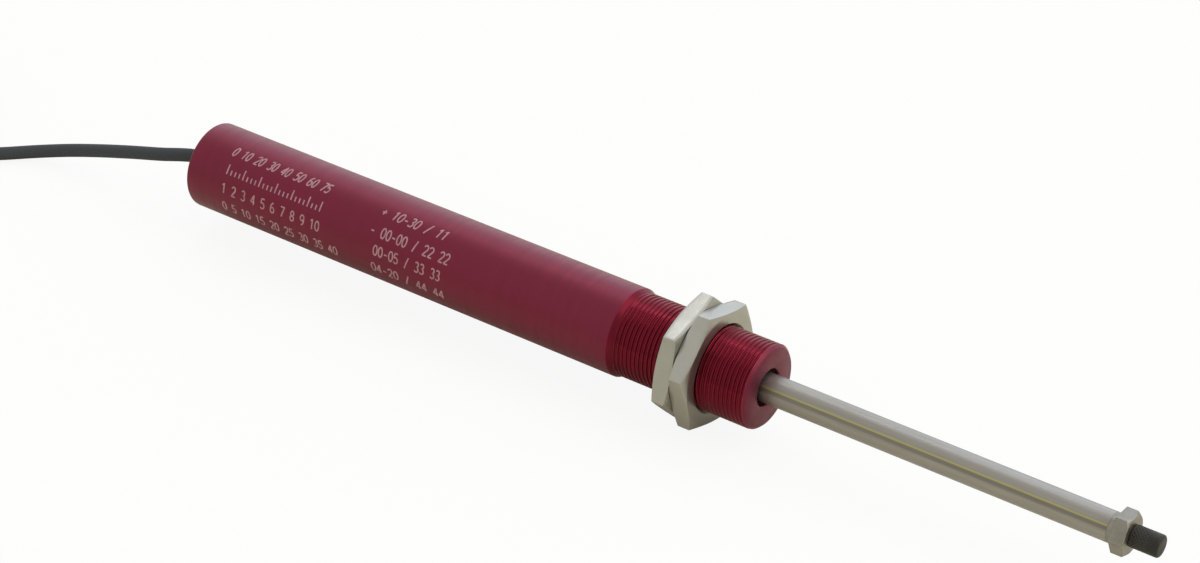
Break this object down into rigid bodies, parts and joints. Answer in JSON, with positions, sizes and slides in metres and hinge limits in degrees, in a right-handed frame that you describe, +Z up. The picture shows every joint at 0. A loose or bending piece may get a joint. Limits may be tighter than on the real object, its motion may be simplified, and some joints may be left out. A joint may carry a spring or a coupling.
{
  "type": "linear variable inductive transducer",
  "caption": "Spring-loaded linear position sensor: round barrel, threaded nose with hexagon nuts, sliding plunger rod with knurled contact tip, cable from the rear end.",
  "frame": {"origin": "on the barrel's axis, where the threaded nose begins in front of the barrel's bevel", "axes": "+X along the axis, from the cable end towards the contact tip; +Z up as the sensor lies in the picture; +Y to the left, seen from the cable end"},
  "size_m": [0.3421, 0.0482, 0.0268],
  "materials": {
    "body_red": "satin dark red anodise",
    "bearing_bronze": "oiled sintered bronze",
    "seal_black": "matte",
    "washer_tan": "matte",
    "polymer_ivory": "matte",
    "polymer_dark": "satin",
    "polymer_white": "satin",
    "polymer_amber": "translucent amber, satin",
    "copper": "enamelled copper wire",
    "board_green": "solder mask, satin",
    "chip_black": "moulded, matte",
    "ceramic_brown": "glazed ceramic",
    "gold_pins": "gold plated",
    "wire_yellow": "glossy insulation",
    "plated_steel": "nickel plated, satin",
    "cap_steel": "turned stainless steel",
    "spring_steel": "oiled spring steel",
    "grommet_black": "matte",
    "cable_jacket": "dull extruded jacket",
    "rod_steel": "ground welded stainless tube, satin",
    "tip_black": "black oxide, knurled",
    "nut_nickel": "warm nickel plating, satin",
    "tie_black": "moulded nylon",
    "lead_red": "glossy insulation",
    "lead_black": "glossy insulation",
    "lead_green": "glossy insulation",
    "lead_white": "glossy insulation",
    "tinned_copper": "tinned strands"
  },
  "bodies": {
    "barrel": {"housing": "body_red", "front_bearing": "bearing_bronze", "rod_wiper": "seal_black", "stop_washer": "washer_tan", "probe_holder": "polymer_ivory", "probe_former": "polymer_ivory", "probe_winding": "copper", "probe_sleeve": "polymer_dark", "probe_tip": "polymer_white", "spacer_sleeve": "polymer_amber", "circuit_board": "board_green", "signal_chip": "chip_black", "board_parts": "ceramic_brown", "feed_pins": "gold_pins", "core_wires": "wire_yellow", "cable_crimp": "plated_steel", "rear_cap": "cap_steel", "cap_seal": "seal_black", "retaining_ring": "spring_steel", "cable_grommet": "grommet_black", "cable_inner": "cable_jacket", "return_spring": "spring_steel", "cable_run": "cable_jacket", "cable_coil": "cable_jacket", "cable_tie": "tie_black", "lead_red": "lead_red", "lead_black": "lead_black", "lead_green": "lead_green", "lead_white": "lead_white", "lead_tips": "tinned_copper"},
    "rod": {"rod_tube": "rod_steel", "guide_piston": "polymer_white", "rod_end_plug": "plated_steel", "contact_tip": "tip_black"},
    "rear_nut": {"rear_nut": "nut_nickel"},
    "front_nut": {"front_nut": "nut_nickel"}
  },
  "joints": [
    {"name": "rod_slide", "type": "slide", "parent": "barrel", "child": "rod", "axis": [1, 0, 0], "range_m": [-0.075, 0], "stiffness_N_per_m": 50, "springref_m": 0.02, "deforming": ["return_spring"]},
    {"name": "rear_nut_travel", "type": "slide", "parent": "barrel", "child": "rear_nut", "axis": [1, 0, 0], "range_m": [-0.011, 0]},
    {"name": "front_nut_travel", "type": "slide", "parent": "barrel", "child": "front_nut", "axis": [1, 0, 0], "range_m": [0, 0.011]}
  ]
}
